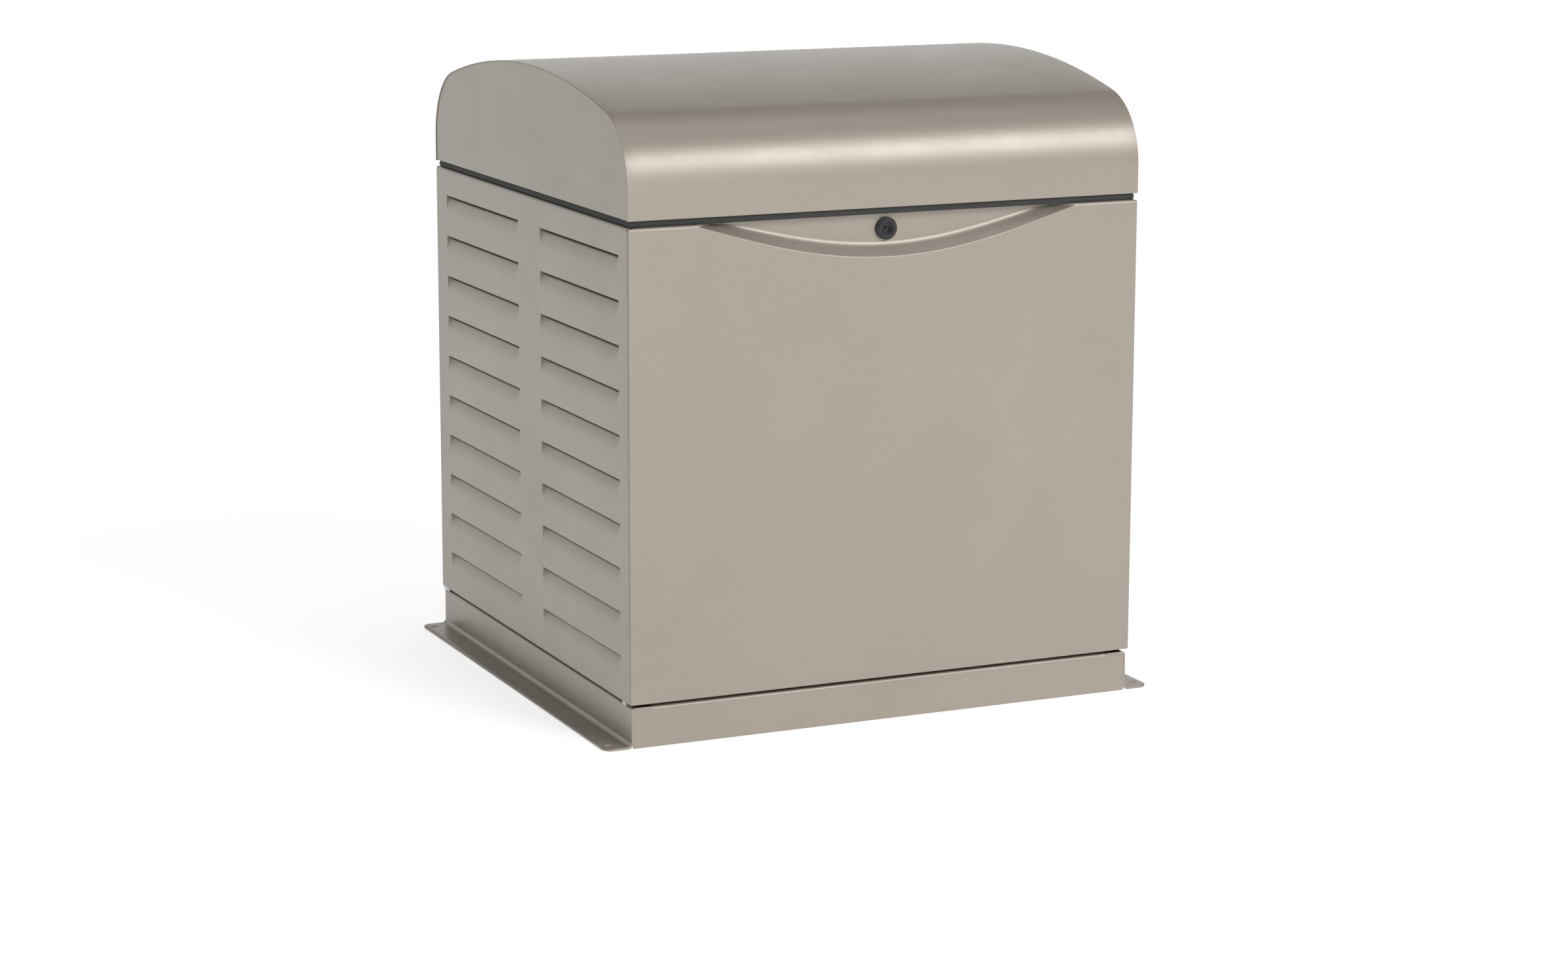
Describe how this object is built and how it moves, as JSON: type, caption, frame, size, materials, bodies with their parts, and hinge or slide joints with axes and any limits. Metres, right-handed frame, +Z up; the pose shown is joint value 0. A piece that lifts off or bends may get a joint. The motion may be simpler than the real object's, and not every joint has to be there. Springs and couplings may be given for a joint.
{
  "type": "home standby generator",
  "caption": "Standby generator: an engine and alternator in a folded steel enclosure with louvred sides, a hinged roof and a lift-off front panel.",
  "frame": {"origin": "centre of the rectangle of four anchor holes, at ground level under the foot flanges", "axes": "+Z up, the front panel faces -Y, +X towards the right-hand side seen from the front"},
  "size_m": [0.82, 0.7615, 0.872],
  "materials": {
    "paint_beige": "satin powder coat",
    "galvanised": "zinc plated sheet, brushed",
    "steel_plain": "machined steel",
    "cast_alloy": "cast aluminium, satin",
    "black_paint": "black satin paint",
    "black_plastic": "moulded black plastic, fine grain",
    "grey_plastic": "moulded light grey plastic",
    "green_plastic": "moulded green plastic",
    "rubber_black": "black rubber",
    "foam_grey": "open-cell acoustic foam",
    "filter_paper": "pleated filter paper",
    "copper_wire": "varnished copper windings",
    "brass_plain": "machined brass",
    "red_paint": "red paint, semi-gloss",
    "aluminised": "aluminised steel, matt",
    "oil_filter_grey": "dark grey enamel",
    "lock_black": "black powder coat"
  },
  "bodies": {
    "frame": {"base_rail_left": "paint_beige", "base_rail_right": "paint_beige", "base_cross_rails": "paint_beige", "base_deck": "paint_beige", "corner_posts": "galvanised", "front_cross_rail": "galvanised", "panel_left": "paint_beige", "panel_right": "paint_beige", "panel_rear": "paint_beige", "panel_screws": "galvanised", "rear_foam": "foam_grey", "hinge_leaves_lower": "steel_plain", "hinge_pins": "steel_plain", "engine_skid": "black_paint", "isolators": "rubber_black", "crankcase": "cast_alloy", "cylinder_heads": "cast_alloy", "valve_covers": "black_paint", "ignition_leads": "rubber_black", "blower_housing": "black_plastic", "intake_screen": "steel_plain", "alternator_housing": "cast_alloy", "alternator_stator": "copper_wire", "alternator_end_bell": "cast_alloy", "air_cleaner_base": "black_plastic", "air_filter": "filter_paper", "intake_mixer": "cast_alloy", "fuel_regulator": "cast_alloy", "fuel_valve": "brass_plain", "fuel_hoses": "rubber_black", "oil_filter": "oil_filter_grey", "starter_motor": "black_paint", "exhaust_pipes": "aluminised", "muffler": "aluminised", "muffler_brackets": "galvanised", "battery": "black_plastic", "battery_hold_down": "galvanised", "controller_box": "black_plastic", "controller_face": "grey_plastic", "breaker_box": "black_plastic", "conduit_hub": "galvanised", "power_cable": "rubber_black"},
    "rotor": {"crankshaft": "steel_plain", "flywheel_fan": "cast_alloy", "alternator_rotor": "copper_wire"},
    "front_panel": {"panel_front": "paint_beige", "lock_housing": "lock_black"},
    "latch": {"lock_barrel": "steel_plain"},
    "roof": {"roof_skin": "paint_beige", "roof_gables": "paint_beige", "roof_gasket": "rubber_black", "roof_foam": "foam_grey", "roof_fittings": "galvanised"},
    "prop": {"prop_rod": "galvanised"},
    "fuel_handle": {"fuel_lever": "red_paint"},
    "breaker_handle": {"breaker_toggle": "grey_plastic"},
    "mode_rocker": {"run_switch": "black_plastic"},
    "menu_button": {"menu_key": "green_plastic"},
    "dipstick": {"oil_dipstick": "green_plastic"},
    "cleaner_cover": {"air_cleaner_cover": "black_plastic"}
  },
  "joints": [
    {"name": "roof_hinge", "type": "hinge", "parent": "frame", "child": "roof", "pos_m": [0, 0.381, 0.69525], "axis": [-1, 0, 0], "range_deg": [0, 80]},
    {"name": "prop_swing", "type": "hinge", "parent": "roof", "child": "prop", "pos_m": [-0.345, 0.051, 0.715], "axis": [1, 0, 0], "range_deg": [0, 135]},
    {"name": "panel_slide", "type": "slide", "parent": "frame", "child": "front_panel", "axis": [0, -1, 0], "range_m": [0, 0.3]},
    {"name": "latch_turn", "type": "hinge", "parent": "front_panel", "child": "latch", "pos_m": [0, -0.36, 0.67], "axis": [0, 1, 0], "range_deg": [0, 90]},
    {"name": "crank_spin", "type": "hinge", "parent": "frame", "child": "rotor", "pos_m": [0, 0.02, 0.235], "axis": [1, 0, 0], "continuous": true},
    {"name": "fuel_lever_turn", "type": "hinge", "parent": "frame", "child": "fuel_handle", "pos_m": [-0.25, 0.3, 0.15], "axis": [0, 0, -1], "range_deg": [0, 90]},
    {"name": "breaker_flip", "type": "hinge", "parent": "frame", "child": "breaker_handle", "pos_m": [0.28, -0.332, 0.56], "axis": [1, 0, 0], "range_deg": [0, 44]},
    {"name": "run_switch_rock", "type": "hinge", "parent": "frame", "child": "mode_rocker", "pos_m": [-0.27, -0.348, 0.53], "axis": [1, 0, 0], "range_deg": [-10, 10]},
    {"name": "menu_key_press", "type": "slide", "parent": "frame", "child": "menu_button", "axis": [0, 1, 0], "range_m": [0, 0.0015], "stiffness_N_per_m": 300},
    {"name": "dipstick_pull", "type": "slide", "parent": "frame", "child": "dipstick", "axis": [0, -0.766, 0.6428], "range_m": [0, 0.15]},
    {"name": "cleaner_cover_lift", "type": "slide", "parent": "frame", "child": "cleaner_cover", "axis": [0, 0, 1], "range_m": [0, 0.12]}
  ]
}
